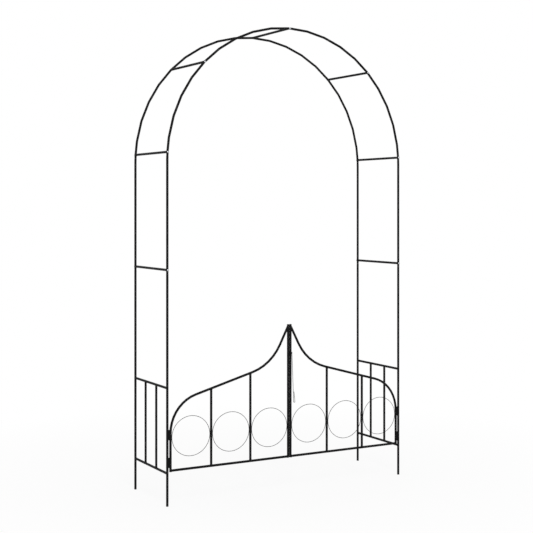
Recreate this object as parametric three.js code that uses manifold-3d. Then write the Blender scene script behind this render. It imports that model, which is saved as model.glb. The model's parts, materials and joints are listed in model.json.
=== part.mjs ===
import * as THREE from 'three';
import { mergeVertices } from 'three/addons/utils/BufferGeometryUtils.js';
import Module from 'manifold-3d';

// Garden arch with a two-leaf gate, of straight and bent round steel tube.
// Millimetres, +Z up. X runs across the path, the gate is on the -Y side, the legs end at Z = 0.

// The two arches
const archSpacing = 1368; // left legs to right legs, centre to centre
const archDepth = 390; // front arch to rear arch, centre to centre
const springHeight = 1675; // where the straight legs turn into the half circle
const levelPitch = 570.5; // from the ground ends to the side rail, and on to each crossbar level
const shoulderShare = 0.5; // place of the shoulder crossbars along each quarter of the arc

// Round tube
const tubeRadius = 6;
const tubeWall = 1;
const seatGap = 0.3; // clearance that seated pieces keep

// Swaged joints between the arch sections
const spigotReach = 15; // each way from the screw
const swageLength = 2.5; // where the tube narrows to its spigot

// Joint screws and the threaded inserts, in the crossbar ends, that they turn into
const screwRadius = 2.5;
const headRadius = 4.8;
const headHeight = 2.8;
const headRim = 1.1; // upright edge under the dome
const insertLength = 14;
const insertSetback = 1; // from the arch tube's surface
const threadEngagement = 10.7; // of a screw in its insert

// Side panels
const lowerRailHeight = 158.7;
const sideBarShare = 1 / 3; // place of each upright bar between the legs
const ventRadius = 2; // holes that drain the welded bars into the rails

// Gate leaves
const hingeGap = 5; // between a leg and the hinge stile
const meetingGap = 2; // between the two meeting stiles
const gateRailHeight = 170.8;
const bayCount = 3;
const shoulderHeight = 351; // where the hinge stile starts to bend
const shoulderBend = 184;
const slopeAngle = THREE.MathUtils.degToRad(15.35);
const hollowBend = 256;
const peakAngle = THREE.MathUtils.degToRad(62.6);
const peakHeight = 837.4; // where the curved rail's centreline meets the meeting stile's
const stileRise = 8.6; // of the meeting stile above that meeting

// Wire rings
const wireRadius = 1.25;
const ringHeight = 200;
const ringCentreHeight = 329.4;

// Butt hinges
const hingeHeights = { lower: 210.7, upper: 345.1 }; // their middles
const hingeLength = 50;
const leafLap = 7.5; // how far a leaf reaches over its tube
const hingeThickness = 1.2;
const knuckleCount = 5;
const knuckleRadius = 2.5;
const hingePinRadius = 1.3;
const pinHeadRadius = 2.1;
const pinHeadHeight = 1;

// Throw-over latch
const latchHeight = 700;
const latchPinRadius = 2.5;
const latchHeadRadius = 4.6;
const latchHeadHeight = 2;
const latchCollarHeight = 1;
const latchLean = THREE.MathUtils.degToRad(2.2);
const eyeTurn = THREE.MathUtils.degToRad(318);
const shankLength = 251;
const gripBend = 4;
const gripReturn = 51; // from the fold up to the wire's end
const gripGap = 1.8; // between the wire's end and the shank, which it leans towards
const keeperBend = 3.5;
const keeperTip = 4;

// Facets
const tubeSides = 8;
const roundSides = 8;
const saddleSides = 12;
const wireSides = 6;
const ringSteps = 22;
const bendStep = THREE.MathUtils.degToRad(9);
const wireBendStep = THREE.MathUtils.degToRad(30);

// Places worked out from the sizes above
const archRadius = archSpacing / 2;
const frontY = -archDepth / 2;
const boreRadius = tubeRadius - tubeWall;
const spigotRadius = boreRadius - seatGap;
const holeRadius = screwRadius + seatGap;
const screwLength = seatGap + 2 * tubeRadius + insertSetback + threadEngagement;
const quarterArc = (archRadius * Math.PI) / 2;
const middleLevel = 2 * levelPitch;
const upperLevel = 3 * levelPitch;
const hingeStileX = archRadius - 2 * tubeRadius - hingeGap;
const meetingStileX = tubeRadius + meetingGap / 2;
const meetingStileTop = peakHeight + stileRise;
const weldDepth = tubeWall / 2; // how far welded pieces reach into a tube's wall
const barPitch = (hingeStileX - meetingStileX) / bayCount;
const hingeAxisX = archRadius - tubeRadius - hingeGap / 2;
const leafWidth = hingeGap / 2 + leafLap;
const hingeBackY = frontY - tubeRadius - seatGap;
const hingeAxisY = hingeBackY - knuckleRadius;
const knucklePitch = hingeLength / knuckleCount;
const latchFaceY = frontY - tubeRadius - seatGap;
const wireBackY = latchFaceY - latchCollarHeight - seatGap;
const wireY = wireBackY - wireRadius;
const eyeBend = latchPinRadius + seatGap + wireRadius;
const gripLean = Math.asin((2 * gripBend - 2 * wireRadius - gripGap) / gripReturn);

// The joints, as lengths along one half of an arch from the ground end of its leg
const upperJoint = springHeight + archRadius * Math.asin((upperLevel - springHeight) / archRadius);
const shoulderJoint = springHeight + shoulderShare * quarterArc;
const apexJoint = springHeight + quarterArc;

const UP = new THREE.Vector3(0, 0, 1);
const ACROSS = new THREE.Vector3(1, 0, 0);
const ALONG = new THREE.Vector3(0, 1, 0);

const powderCoat = new THREE.MeshStandardMaterial({ color: 0x141516, roughness: 0.42, metalness: 0.1 });
const zinc = new THREE.MeshStandardMaterial({ color: 0xa9acb0, roughness: 0.35, metalness: 0.9 });

const wasm = await Module();
wasm.setup();

// A closed geometry as a solid that can be cut and joined
function toSolid(geometry) {
  geometry.deleteAttribute('normal');
  geometry.deleteAttribute('uv');
  const merged = mergeVertices(geometry);
  const vertProperties = new Float32Array(merged.attributes.position.array);
  const triVerts = new Uint32Array(merged.index.array);
  return new wasm.Manifold(new wasm.Mesh({ numProp: 3, vertProperties, triVerts }));
}

// A solid as a three.js geometry
function toGeometry(solid) {
  const { vertProperties, triVerts } = solid.getMesh();
  const geometry = new THREE.BufferGeometry();
  geometry.setAttribute('position', new THREE.BufferAttribute(vertProperties, 3));
  geometry.setIndex(new THREE.BufferAttribute(triVerts, 1));
  return geometry;
}

function joined(solids) {
  return solids.reduce((all, one) => all.add(one));
}

function cutBy(solid, tools) {
  return tools.reduce((body, tool) => body.subtract(tool), solid);
}

function circle(radius, sides) {
  const corner = (index) => {
    const angle = (index * 2 * Math.PI) / sides;
    return new THREE.Vector2(radius * Math.cos(angle), radius * Math.sin(angle));
  };
  return Array.from({ length: sides }, (_, index) => corner(index));
}

function ringSection(outer, inner, sides) {
  const section = new THREE.Shape(circle(outer, sides));
  section.holes.push(new THREE.Path(circle(inner, sides)));
  return section;
}

// A section drawn straight from one point to another
function extruded(section, from, to) {
  const run = new THREE.Vector3().subVectors(to, from);
  const geometry = new THREE.ExtrudeGeometry(section, { depth: run.length(), bevelEnabled: false });
  geometry.applyQuaternion(new THREE.Quaternion().setFromUnitVectors(UP, run.normalize()));
  geometry.translate(from.x, from.y, from.z);
  return toSolid(geometry);
}

function straightTube(from, to) {
  return extruded(ringSection(tubeRadius, boreRadius, tubeSides), from, to);
}

// A round cutter centred on a point; its flats, not its corners, lie at the radius
function cutter(point, direction, radius, sides, halfLength = 3 * tubeRadius) {
  const half = direction.clone().multiplyScalar(halfLength);
  const section = new THREE.Shape(circle(radius / Math.cos(Math.PI / sides), sides));
  return extruded(section, point.clone().sub(half), point.clone().add(half));
}

// The hollow that seats a coped tube end on the tube running through a point
function saddle(point, direction) {
  return cutter(point, direction, tubeRadius + seatGap, saddleSides);
}

// A profile of radius and height turned about an axis through a point
function turned(profile, sides, point, direction) {
  const points = profile.map(([radius, height]) => new THREE.Vector2(radius, height));
  const geometry = new THREE.LatheGeometry(points, sides);
  geometry.applyQuaternion(new THREE.Quaternion().setFromUnitVectors(ALONG, direction));
  geometry.translate(point.x, point.y, point.z);
  return toSolid(geometry);
}

function box(low, high) {
  const size = new THREE.Vector3().subVectors(high, low);
  const geometry = new THREE.BoxGeometry(size.x, size.y, size.z);
  geometry.translate((low.x + high.x) / 2, (low.y + high.y) / 2, (low.z + high.z) / 2);
  return toSolid(geometry);
}

// A tube or wire bent in an upright plane: straights and bends in the order that a bender makes them.
// Each straight is one step and each bend is several equal ones. Positive turns go anticlockwise.
class BentRun extends THREE.Curve {
  constructor(start, heading, moves, stepAngle) {
    super();
    this.pieces = [];
    let from = start.clone();
    let angle = heading;
    for (const move of moves) {
      const piece = { from: from.clone(), angle, ...move };
      piece.steps = move.turn ? Math.max(2, Math.ceil(Math.abs(move.turn) / stepAngle)) : 1;
      this.pieces.push(piece);
      from = this.pointOn(piece, 1);
      angle += move.turn ?? 0;
    }
    this.steps = this.pieces.reduce((sum, piece) => sum + piece.steps, 0);
  }

  headingOn(piece, share) {
    return piece.angle + (piece.turn ?? 0) * share;
  }

  pointOn(piece, share) {
    if (!piece.turn) {
      const ahead = new THREE.Vector2(piece.length * share, 0).rotateAround(new THREE.Vector2(), piece.angle);
      return ahead.add(piece.from);
    }
    const side = Math.sign(piece.turn) * piece.bend;
    const end = this.headingOn(piece, share);
    return new THREE.Vector2(
      piece.from.x + side * (Math.sin(end) - Math.sin(piece.angle)),
      piece.from.y - side * (Math.cos(end) - Math.cos(piece.angle)),
    );
  }

  find(t) {
    let step = t * this.steps;
    for (const piece of this.pieces) {
      if (step <= piece.steps || piece === this.pieces.at(-1)) return [piece, step / piece.steps];
      step -= piece.steps;
    }
    return null;
  }

  getPoint(t) {
    const { x, y } = this.pointOn(...this.find(t));
    return new THREE.Vector3(x, 0, y);
  }

  getTangent(t) {
    const heading = this.headingOn(...this.find(t));
    return new THREE.Vector3(Math.cos(heading), 0, Math.sin(heading));
  }

  // Equal steps of t are the run's own steps
  getUtoTmapping(u) {
    return u;
  }

  // Point and direction where the run crosses a given X
  crossing(x) {
    let low = 0;
    let high = 1;
    const rising = this.getPoint(1).x > this.getPoint(0).x;
    for (let round = 0; round < 40; round += 1) {
      const middle = (low + high) / 2;
      if (this.getPoint(middle).x > x === rising) high = middle;
      else low = middle;
    }
    return { point: this.getPoint(low), direction: this.getTangent(low) };
  }

  swept(section, y) {
    const geometry = new THREE.ExtrudeGeometry(section, { steps: this.steps, extrudePath: this });
    geometry.translate(0, y, 0);
    return toSolid(geometry);
  }
}

// Arches

// Where the rings of facets lie along a bent arch tube. Those at the joints and at the ends of the
// spigots keep a spigot and the tube round it alike.
function archRings() {
  const spigotEnds = [upperJoint, apexJoint].flatMap((joint) => [joint - spigotReach, joint + spigotReach]);
  const stations = [springHeight, upperJoint, shoulderJoint, apexJoint, ...spigotEnds].sort((a, b) => a - b);
  return stations.flatMap((station, index) => {
    const from = stations[index - 1] ?? station;
    const steps = Math.max(1, Math.ceil((station - from) / archRadius / bendStep));
    return Array.from({ length: steps }, (_, step) => from + ((station - from) * (step + 1)) / steps);
  });
}
const rings = archRings();

// Point of an arch for a length along it and an offset outwards
function onArch(side, length, outwards) {
  const angle = Math.max(0, length - springHeight) / archRadius;
  const reach = archRadius + outwards;
  const height = Math.min(length, springHeight);
  return { x: side * reach * Math.cos(angle), z: height + reach * Math.sin(angle) };
}

function archJoint(side, y, joint) {
  const { x, z } = onArch(side, joint, 0);
  const angle = Math.max(0, joint - springHeight) / archRadius;
  const direction = new THREE.Vector3(-side * Math.sin(angle), 0, Math.cos(angle));
  return { point: new THREE.Vector3(x, y, z), direction };
}

// One section of an arch: open below, and swaged to a spigot above where the next section needs it
function archSection(side, y, from, to, hasSpigot, drilledAt) {
  const between = (low, high) => rings.filter((ring) => ring > low && ring < high);
  const shoulder = hasSpigot ? to - 2 * spigotReach : to;
  const swage = hasSpigot ? shoulder - swageLength : to;
  const outer = [from, ...between(from, swage), swage].map((length) => [tubeRadius, length]);
  const inner = outer.map(([, length]) => [boreRadius, length]).reverse();
  const spigotOuter = [shoulder, ...between(shoulder, to), to].map((length) => [spigotRadius, length]);
  const spigotInner = spigotOuter.map(([radius, length]) => [radius - tubeWall, length]).reverse();
  const spigot = hasSpigot ? [...spigotOuter, ...spigotInner] : [];
  const profile = [...outer, ...spigot, ...inner, outer[0]];
  const points = profile.map(([radius, length]) => new THREE.Vector2(radius, length));
  const geometry = new THREE.LatheGeometry(points, tubeSides);
  geometry.rotateX(Math.PI / 2);
  const place = geometry.attributes.position;
  for (let index = 0; index < place.count; index += 1) {
    const { x, z } = onArch(side, place.getZ(index), side * place.getX(index));
    place.setXYZ(index, x, place.getY(index) + y, z);
  }
  const drilled = drilledAt.map((joint) => archJoint(side, y, joint).point);
  return cutBy(toSolid(geometry), drilled.map((point) => cutter(point, ALONG, holeRadius, roundSides)));
}

// The three sections of one half of an arch. The shoulder screw only passes through its arc,
// and only the left half has a spigot at the apex.
function halfArch(side, y) {
  const foot = (joint) => joint - spigotReach + seatGap;
  const top = (joint) => joint + spigotReach;
  const apexEnd = side < 0 ? top(apexJoint) : top(apexJoint) - seatGap;
  const arcHoles = [upperJoint, shoulderJoint, apexJoint];
  return {
    leg: archSection(side, y, 0, top(middleLevel), true, [middleLevel]),
    post: archSection(side, y, foot(middleLevel), top(upperJoint), true, [middleLevel, upperJoint]),
    arc: archSection(side, y, foot(upperJoint), apexEnd, side < 0, arcHoles),
  };
}

// Crossbars, coped to the front and rear arch tubes

function crossbar(side, joint) {
  const front = archJoint(side, frontY, joint);
  const rear = archJoint(side, -frontY, joint);
  const saddles = [saddle(front.point, front.direction), saddle(rear.point, rear.direction)];
  const tube = cutBy(straightTube(front.point, rear.point), saddles);
  return joined([tube, insert(front.point, ALONG), insert(rear.point, ALONG.clone().negate())]);
}

// The threaded ring welded into the end of a crossbar
function insert(archPoint, inwards) {
  const from = archPoint.clone().addScaledVector(inwards, tubeRadius + insertSetback);
  const to = from.clone().addScaledVector(inwards, insertLength);
  return extruded(ringSection(boreRadius + weldDepth, holeRadius, tubeSides), from, to);
}

// A dome-headed screw; height 0 is the underside of its head
function jointScrew(side, y, joint) {
  const dome = headHeight - headRim;
  const outwards = new THREE.Vector3(0, Math.sign(y), 0);
  const seat = archJoint(side, y, joint).point.addScaledVector(outwards, tubeRadius + seatGap);
  const profile = [
    [0, -screwLength],
    [screwRadius, -screwLength],
    [screwRadius, 0],
    [headRadius, 0],
    [headRadius, headRim],
    [headRadius * Math.SQRT1_2, headRim + dome * Math.SQRT1_2],
    [0, headHeight],
  ];
  return turned(profile, roundSides, seat, outwards);
}

// Side panels between the front and rear legs: two rails, and upright bars welded on and drained into them

function sideRail(side, height) {
  const front = new THREE.Vector3(side * archRadius, frontY, height);
  const rear = front.clone().setY(-frontY);
  return cutBy(straightTube(front, rear), [saddle(front, UP), saddle(rear, UP)]);
}

function sideBar(side, y) {
  const low = new THREE.Vector3(side * archRadius, y, lowerRailHeight);
  const high = low.clone().setZ(levelPitch);
  const welds = [low, high].map((point) => cutter(point, ALONG, tubeRadius - weldDepth, tubeSides));
  return cutBy(straightTube(low, high), welds);
}

function sidePanel(side) {
  const rails = [sideRail(side, lowerRailHeight), sideRail(side, levelPitch)];
  const places = [frontY + sideBarShare * archDepth, -frontY - sideBarShare * archDepth];
  const bars = places.map((y) => sideBar(side, y));
  const vents = places.map((y) => {
    const low = new THREE.Vector3(side * archRadius, y, lowerRailHeight);
    return extruded(new THREE.Shape(circle(ventRadius, roundSides)), low, low.clone().setZ(levelPitch));
  });
  return cutBy(joined([...rails, ...bars]), vents);
}

// Gate leaves

// The bent tube that is a leaf's hinge stile, shoulder and curved top rail.
// The straight parts of its top are as long as they must be to reach the peak.
function leafOutline(side) {
  const start = new THREE.Vector2(side * hingeStileX, gateRailHeight - tubeRadius);
  const width = hingeStileX - meetingStileX;
  const [slopeSine, slopeCosine] = [Math.sin(slopeAngle), Math.cos(slopeAngle)];
  const [peakSine, peakCosine] = [Math.sin(peakAngle), Math.cos(peakAngle)];
  const across = width - shoulderBend * (1 - slopeSine) - hollowBend * (peakSine - slopeSine);
  const height = peakHeight - shoulderHeight;
  const up = height - shoulderBend * slopeCosine - hollowBend * (slopeCosine - peakCosine);
  const spread = Math.sin(peakAngle - slopeAngle);
  const slope = (across * peakSine - up * peakCosine) / spread;
  const rise = (up * slopeCosine - across * slopeSine) / spread;
  const moves = [
    { length: shoulderHeight - start.y },
    { bend: shoulderBend, turn: side * (Math.PI / 2 - slopeAngle) },
    { length: slope },
    { bend: hollowBend, turn: -side * (peakAngle - slopeAngle) },
    { length: rise },
  ];
  return new BentRun(start, Math.PI / 2, moves, bendStep);
}

function leafFrame(side) {
  const meeting = new THREE.Vector3(side * meetingStileX, frontY, peakHeight);
  const tube = leafOutline(side).swept(ringSection(tubeRadius, boreRadius, tubeSides), frontY);
  const reach = meetingStileTop - gateRailHeight;
  return tube.subtract(cutter(meeting, UP, tubeRadius + seatGap, saddleSides, reach));
}

// Closed at the top, open at the bottom
function meetingStile(side) {
  const foot = new THREE.Vector3(side * meetingStileX, frontY, gateRailHeight - tubeRadius);
  const profile = [
    [boreRadius, 0],
    [tubeRadius, 0],
    [tubeRadius, meetingStileTop - foot.z],
    [0, meetingStileTop - foot.z],
    [0, meetingStileTop - foot.z - tubeWall],
    [boreRadius, meetingStileTop - foot.z - tubeWall],
    [boreRadius, 0],
  ];
  return turned(profile, tubeSides, foot, UP);
}

function gateRail(side) {
  const outer = new THREE.Vector3(side * hingeStileX, frontY, gateRailHeight);
  const inner = outer.clone().setX(side * meetingStileX);
  return cutBy(straightTube(outer, inner), [saddle(outer, UP), saddle(inner, UP)]);
}

// The bar on the meeting side of a bay; bays are counted from the hinges
function gateBar(side, bay) {
  const x = side * (hingeStileX - bay * barPitch);
  const low = new THREE.Vector3(x, frontY, gateRailHeight);
  const { point, direction } = leafOutline(side).crossing(x);
  const high = point.clone().setY(frontY);
  return cutBy(straightTube(low, high), [saddle(low, ACROSS), saddle(high, direction)]);
}

// A wire ring spread a little so that it reaches the tubes on both sides of its bay
function gateRing(side, bay) {
  const halfHeight = ringHeight / 2 - wireRadius;
  const halfWidth = barPitch / 2 - tubeRadius - seatGap - wireRadius;
  const geometry = new THREE.TorusGeometry(halfHeight, wireRadius, wireSides, ringSteps);
  const place = geometry.attributes.position;
  for (let point = 0; point < place.count; point += 1) {
    const x = place.getX(point);
    const spread = ((halfWidth - halfHeight) * x) / Math.hypot(x, place.getY(point));
    place.setX(point, x + spread);
  }
  geometry.rotateX(Math.PI / 2);
  geometry.translate(side * (hingeStileX - (bay - 0.5) * barPitch), frontY, ringCentreHeight);
  return toSolid(geometry);
}

// Butt hinges, on the fronts of the leg and the hinge stile

// The part of a hinge's barrel from one of its knuckle lines to another, grown by a clearance all round
function barrelBlock(axis, from, to, clearance) {
  const reach = knuckleRadius + seatGap;
  return box(
    new THREE.Vector3(axis.x - reach, axis.y - reach, axis.z + from * knucklePitch - clearance),
    new THREE.Vector3(axis.x + reach, axis.y + reach, axis.z + to * knucklePitch + clearance),
  );
}

// A leaf's plate with the whole barrel, cut clear of the other leaf's knuckles
function hingeLeaf(side, middle, onLeg) {
  const axis = new THREE.Vector3(side * hingeAxisX, hingeAxisY, middle - hingeLength / 2);
  const top = axis.clone().setZ(middle + hingeLength / 2);
  const outer = axis.x + (onLeg ? side : -side) * leafWidth;
  const plate = box(
    new THREE.Vector3(Math.min(axis.x, outer), hingeBackY - hingeThickness, axis.z),
    new THREE.Vector3(Math.max(axis.x, outer), hingeBackY, top.z),
  );
  const barrel = extruded(new THREE.Shape(circle(knuckleRadius, roundSides)), axis, top);
  const knuckles = Array.from({ length: knuckleCount }, (_, index) => index);
  const others = knuckles.filter((index) => (index % 2 === 0) !== onLeg);
  const cuts = others.map((index) => barrelBlock(axis, index, index + 1, seatGap / 2));
  return cutBy(plate.add(barrel), cuts);
}

// The leaf on the leg has the end knuckles, and its pin is riveted over at both ends
function legLeaf(side, middle) {
  const foot = new THREE.Vector3(side * hingeAxisX, hingeAxisY, middle - hingeLength / 2);
  const profile = [
    [0, -pinHeadHeight],
    [pinHeadRadius, -pinHeadHeight],
    [pinHeadRadius, 0],
    [hingePinRadius, 0],
    [hingePinRadius, hingeLength],
    [pinHeadRadius, hingeLength],
    [pinHeadRadius, hingeLength + pinHeadHeight],
    [0, hingeLength + pinHeadHeight],
  ];
  return hingeLeaf(side, middle, true).add(turned(profile, roundSides, foot, UP));
}

function gateLeaf(side, middle) {
  const axis = new THREE.Vector3(side * hingeAxisX, hingeAxisY, middle);
  const bore = cutter(axis, UP, hingePinRadius + seatGap, roundSides, hingeLength);
  return hingeLeaf(side, middle, false).subtract(bore);
}

// Latch

// A shouldered pin welded on the right meeting stile; its neck takes the arm's eye
function latchPin() {
  const face = new THREE.Vector3(meetingStileX, latchFaceY, latchHeight);
  const root = -seatGap - weldDepth;
  const neckEnd = latchCollarHeight + 2 * wireRadius + 2 * seatGap;
  const profile = [
    [0, root],
    [latchPinRadius, root],
    [latchPinRadius, 0],
    [latchHeadRadius, 0],
    [latchHeadRadius, latchCollarHeight],
    [latchPinRadius, latchCollarHeight],
    [latchPinRadius, neckEnd],
    [latchHeadRadius, neckEnd],
    [latchHeadRadius, neckEnd + latchHeadHeight],
    [0, neckEnd + latchHeadHeight],
  ];
  return turned(profile, roundSides, face, ALONG.clone().negate());
}

// Wire arm: an eye round the pin, a long shank hanging down, and a folded finger grip
function latchArm() {
  const down = -Math.PI / 2 + latchLean;
  const centre = new THREE.Vector2(meetingStileX, latchHeight);
  const start = centre.clone().setX(centre.x + eyeBend).rotateAround(centre, latchLean + eyeTurn);
  const moves = [
    { bend: eyeBend, turn: -eyeTurn },
    { length: shankLength },
    { bend: gripBend, turn: Math.PI + gripLean },
    { length: gripReturn },
  ];
  const run = new BentRun(start, down + eyeTurn, moves, wireBendStep);
  return run.swept(new THREE.Shape(circle(wireRadius, wireSides)), wireY);
}

// Upturned wire hook welded on the left meeting stile, which the thrown arm drops into
function latchKeeper() {
  const armHeight = latchHeight - eyeBend;
  const start = new THREE.Vector2(frontY - tubeRadius + weldDepth, armHeight - 2 * wireRadius - seatGap);
  const tipY = wireY - 2 * wireRadius - seatGap;
  const moves = [
    { length: start.x - tipY - keeperBend },
    { bend: keeperBend, turn: -Math.PI / 2 },
    { length: keeperTip },
  ];
  const run = new BentRun(start, Math.PI, moves, wireBendStep);
  const section = new THREE.Shape(circle(wireRadius, wireSides));
  const geometry = new THREE.ExtrudeGeometry(section, { steps: run.steps, extrudePath: run });
  geometry.rotateZ(Math.PI / 2);
  geometry.translate(-meetingStileX, 0, 0);
  return toSolid(geometry);
}

// The object

const group = new THREE.Group();

function addPiece(name, solid, material = powderCoat) {
  const mesh = new THREE.Mesh(toGeometry(solid), material);
  mesh.name = name;
  group.add(mesh);
}

const levels = { middle: middleLevel, upper: upperJoint, shoulder: shoulderJoint };
const ends = { front: frontY, rear: -frontY };

function addHalfArch(sideName, side, endName, y) {
  for (const [sectionName, solid] of Object.entries(halfArch(side, y))) {
    addPiece(`${sideName}_${endName}_${sectionName}`, solid);
  }
  for (const [level, joint] of Object.entries(levels)) {
    addPiece(`${sideName}_${endName}_${level}_screw`, jointScrew(side, y, joint), zinc);
  }
}

function addGateLeaf(sideName, side) {
  const latchHalf = side < 0 ? latchKeeper() : latchPin();
  addPiece(`${sideName}_gate_frame`, leafFrame(side));
  addPiece(`${sideName}_gate_meeting_stile`, meetingStile(side).add(latchHalf));
  addPiece(`${sideName}_gate_bottom_rail`, gateRail(side));
  for (let bay = 1; bay <= bayCount; bay += 1) {
    addPiece(`${sideName}_gate_ring_${bay}`, gateRing(side, bay));
    if (bay < bayCount) addPiece(`${sideName}_gate_bar_${bay}`, gateBar(side, bay));
  }
  for (const [place, middle] of Object.entries(hingeHeights)) {
    addPiece(`${sideName}_${place}_hinge_leg_leaf`, legLeaf(side, middle));
    addPiece(`${sideName}_${place}_hinge_gate_leaf`, gateLeaf(side, middle));
  }
}

for (const [sideName, side] of Object.entries({ left: -1, right: 1 })) {
  for (const [endName, y] of Object.entries(ends)) {
    addHalfArch(sideName, side, endName, y);
  }
  for (const [level, joint] of Object.entries(levels)) {
    addPiece(`${sideName}_${level}_crossbar`, crossbar(side, joint));
  }
  addPiece(`${sideName}_side_panel`, sidePanel(side));
  addGateLeaf(sideName, side);
}

addPiece('top_crossbar', crossbar(1, apexJoint));
for (const [endName, y] of Object.entries(ends)) {
  addPiece(`${endName}_top_screw`, jointScrew(1, y, apexJoint), zinc);
}

addPiece('latch_arm', latchArm());

export default group;
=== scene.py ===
"""Garden arch with a two-leaf gate: the finished surfaces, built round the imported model.

Every tube, wire, screw and hinge leaf of the arch is drawn again here as a smooth piece with its
welds, chamfers and finish. Lengths are in metres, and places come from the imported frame.
"""

from __future__ import annotations

import bisect
import json
import logging
import math
from dataclasses import dataclass
from enum import Enum

import bmesh
import bpy
from bmesh.types import BMEdge, BMesh, BMFace, BMVert
from bpy.types import ID, Material, Node, NodeSocket, NodeTree, Object
from mathutils import Matrix, Vector

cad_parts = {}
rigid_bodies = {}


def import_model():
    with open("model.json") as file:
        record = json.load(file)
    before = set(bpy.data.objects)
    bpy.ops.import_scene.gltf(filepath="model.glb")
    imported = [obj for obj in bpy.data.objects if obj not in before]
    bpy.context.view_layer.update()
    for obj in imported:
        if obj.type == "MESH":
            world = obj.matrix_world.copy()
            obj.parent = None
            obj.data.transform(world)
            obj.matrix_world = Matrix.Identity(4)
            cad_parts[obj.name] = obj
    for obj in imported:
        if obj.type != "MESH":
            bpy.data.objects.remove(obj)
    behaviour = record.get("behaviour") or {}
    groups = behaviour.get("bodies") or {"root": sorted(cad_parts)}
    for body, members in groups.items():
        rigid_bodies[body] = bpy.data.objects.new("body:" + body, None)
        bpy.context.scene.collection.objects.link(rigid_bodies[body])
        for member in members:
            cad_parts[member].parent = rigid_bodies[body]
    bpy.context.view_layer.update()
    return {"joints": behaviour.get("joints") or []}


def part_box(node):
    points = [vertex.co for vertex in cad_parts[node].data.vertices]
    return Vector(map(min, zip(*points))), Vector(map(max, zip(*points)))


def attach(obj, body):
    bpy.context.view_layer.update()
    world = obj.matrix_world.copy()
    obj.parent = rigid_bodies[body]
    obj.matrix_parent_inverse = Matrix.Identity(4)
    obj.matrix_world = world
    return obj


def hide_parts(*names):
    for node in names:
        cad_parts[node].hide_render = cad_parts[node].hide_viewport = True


LOG = logging.getLogger("garden_arch")

UP = Vector((0.0, 0.0, 1.0))
ALONG = Vector((0.0, 1.0, 0.0))
ACROSS = Vector((1.0, 0.0, 0.0))

TUBE_RADIUS = 0.006
TUBE_WALL = 0.001
TUBE_BORE = TUBE_RADIUS - TUBE_WALL  # the bore's radius
TUBE_LIP = 0.0003  # the small bevel on a tube's end
WIRE_RADIUS = 0.00125
SEAT_GAP = 0.0003  # clearance that seated pieces keep
PRESS_RADIUS = 0.045  # of the short bend at each press of a tube
CLEAR_RADII = 3  # where a tube is plain again past its seat's centre line, in tube radii
EDGE_SHARE = 0.985  # of its seat's radius, as far out as an end is shaped to it
CAP_SHARES = (0.08, 0.4, 0.75)  # rings inside the closed end of a seated tube

TUBE_SIDES = 32
WIRE_SIDES = 16
SPOT_RINGS = 10  # round a spot weld, from pole to pole
HEXAGON = 6
BEND_STEP = math.radians(1.5)
WIRE_BEND_STEP = math.radians(7.5)
CREASE = math.radians(38)  # faces that meet more sharply show an edge
HAIR = 1e-5  # lengths and turns below this count as nothing

PUDDLE_PITCH = 1.4  # from one puddle of a weld to the next, in bead radii
PUDDLE_STEPS = 3  # rings that draw a puddle
PUDDLE_DIP = 0.07  # of the bead's radius, at each step of a puddle
BEAD_TIP_SHARE = 0.35  # of the bead's radius, at its ends

FINE_NOISE = (3.0, 0.55)  # detail and roughness
BROAD_NOISE = (4.0, 0.5)

Box = tuple[Vector, Vector]


class Side(Enum):
    """Left and right of the path, for someone who faces the gate from outside."""

    LEFT = -1
    RIGHT = 1

    @property
    def word(self) -> str:
        """The side's word in the names of its pieces."""
        return self.name.lower()

    @property
    def leaf(self) -> str:
        """The body that the side's gate leaf moves with."""
        return f"{self.word}_leaf"


class End(Enum):
    """The arch that carries the gate, and the one behind it."""

    FRONT = "front"
    REAR = "rear"


class Level(Enum):
    """Heights at which a crossbar ties the two arches together at the sides."""

    MIDDLE = "middle"
    UPPER = "upper"
    SHOULDER = "shoulder"


class Place(Enum):
    """Heights at which the hinges carry a leaf."""

    LOWER = "lower"
    UPPER = "upper"


def middle(box: Box) -> Vector:
    """The centre of a box."""
    return (box[0] + box[1]) / 2


def placed(name: str, data: ID) -> Object:
    """Puts a new object in the scene.

    Args:
        name: The object's name.
        data: What it shows: a mesh, a camera or a light.

    Returns:
        The object, at the origin.
    """
    made = bpy.data.objects.new(name, data)
    bpy.context.scene.collection.objects.link(made)
    return made


def verts_of(geometry: list[BMVert | BMEdge]) -> list[BMVert]:
    """The vertices in what an operator made."""
    return [item for item in geometry if isinstance(item, BMVert)]


def edges_between(verts: list[BMVert]) -> list[BMEdge]:
    """Finds the edges that have both their ends among some vertices.

    Args:
        verts: The vertices.

    Returns:
        The edges.
    """
    own = set(verts)
    linked = (edge for vert in verts for edge in vert.link_edges)
    return list(dict.fromkeys(edge for edge in linked if own.issuperset(edge.verts)))


def spun(
    mesh: BMesh,
    geometry: list[BMVert | BMEdge],
    centre: Vector,
    axis: Vector,
    angle: float,
    steps: int,
    closed: bool = False,
) -> list[BMVert]:
    """Spins vertices and edges round an axis into faces.

    Args:
        mesh: The mesh that they are in.
        geometry: The vertices and edges.
        centre: A point on the axis.
        axis: Its direction.
        angle: The turn, positive by the right-hand rule.
        steps: The number of steps in it.
        closed: Whether it is a full turn that ends where it starts.

    Returns:
        The vertices of the last step.
    """
    made = bmesh.ops.spin(
        mesh,
        geom=geometry,
        cent=centre,
        axis=axis,
        dvec=(0.0, 0.0, 0.0),
        angle=angle,
        steps=steps,
        use_merge=closed,
        use_duplicate=False,
    )
    return verts_of(made["geom_last"])


@dataclass(frozen=True)
class Seat:
    """The tube that another tube's end sits on.

    Args:
        point: Where the two centre lines meet.
        axis: The direction of the tube that carries the other.
        radius: The radius of the tube that carries the other.
    """

    point: Vector
    axis: Vector
    radius: float = TUBE_RADIUS


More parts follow.
